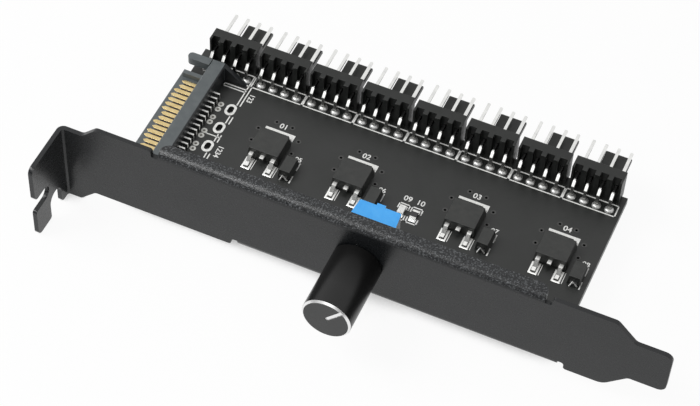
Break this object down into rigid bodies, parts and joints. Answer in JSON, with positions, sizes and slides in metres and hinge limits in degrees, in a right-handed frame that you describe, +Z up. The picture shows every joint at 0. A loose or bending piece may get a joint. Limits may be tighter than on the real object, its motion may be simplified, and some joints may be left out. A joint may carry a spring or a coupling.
{
  "type": "fan controller hub",
  "caption": "Fan controller hub: a black circuit board on a folded slot bracket, with a row of fan headers, a keyed power plug and a turning speed knob.",
  "frame": {"origin": "the screw's place in the tab slot, on the face of the tab that sits on the chassis ledge", "axes": "+X along the bracket from the screw tab to its tip, +Y from the bracket's front face back over the board, +Z up out of the board's component side"},
  "size_m": [0.12, 0.0623, 0.0216],
  "materials": {
    "bracket_coat": "fine-textured charcoal powder coat",
    "board": "black solder mask with white print",
    "screw_steel": "bright plated steel",
    "plug_plastic": "slate grey moulded plastic",
    "gold": "gold-plated contact",
    "frame_steel": "plated steel",
    "blue_plastic": "bright blue moulded plastic",
    "track_board": "resin-bonded track plate",
    "tinned": "tin plating",
    "spring_brass": "spring bronze",
    "shaft_metal": "turned",
    "knob_metal": "black anodised, bright-cut edge",
    "lamp_white": "milky white",
    "chip_black": "black moulded epoxy",
    "header_plastic": "black moulded plastic"
  },
  "bodies": {
    "hub": {"bracket": "bracket_coat", "circuit_board": "board", "board_screws": "screw_steel", "power_plug_housing": "plug_plastic", "power_plug_contacts": "gold", "potentiometer_frame": "frame_steel", "potentiometer_body": "blue_plastic", "potentiometer_track": "track_board", "potentiometer_terminals": "tinned", "lamp_chip": "lamp_white", "lamp_chip_caps": "tinned", "resistor_chip": "chip_black", "resistor_chip_caps": "tinned", "fan_header_1": "header_plastic", "fan_header_pins_1": "tinned", "fan_header_2": "header_plastic", "fan_header_pins_2": "tinned", "fan_header_3": "header_plastic", "fan_header_pins_3": "tinned", "fan_header_4": "header_plastic", "fan_header_pins_4": "tinned", "fan_header_5": "header_plastic", "fan_header_pins_5": "tinned", "fan_header_6": "header_plastic", "fan_header_pins_6": "tinned", "fan_header_7": "header_plastic", "fan_header_pins_7": "tinned", "fan_header_8": "header_plastic", "fan_header_pins_8": "tinned", "transistor_1": "chip_black", "transistor_leads_1": "tinned", "diode_1": "chip_black", "diode_leads_1": "tinned", "transistor_2": "chip_black", "transistor_leads_2": "tinned", "diode_2": "chip_black", "diode_leads_2": "tinned", "transistor_3": "chip_black", "transistor_leads_3": "tinned", "diode_3": "chip_black", "diode_leads_3": "tinned", "transistor_4": "chip_black", "transistor_leads_4": "tinned", "diode_4": "chip_black", "diode_leads_4": "tinned"},
    "dial": {"knob": "knob_metal", "potentiometer_shaft": "shaft_metal", "potentiometer_wiper": "spring_brass"}
  },
  "joints": [
    {"name": "knob_turn", "type": "hinge", "parent": "hub", "child": "dial", "pos_m": [0.05993, 0.00763, 0.00378], "axis": [0, 1, 0], "range_deg": [-181, 99]}
  ]
}
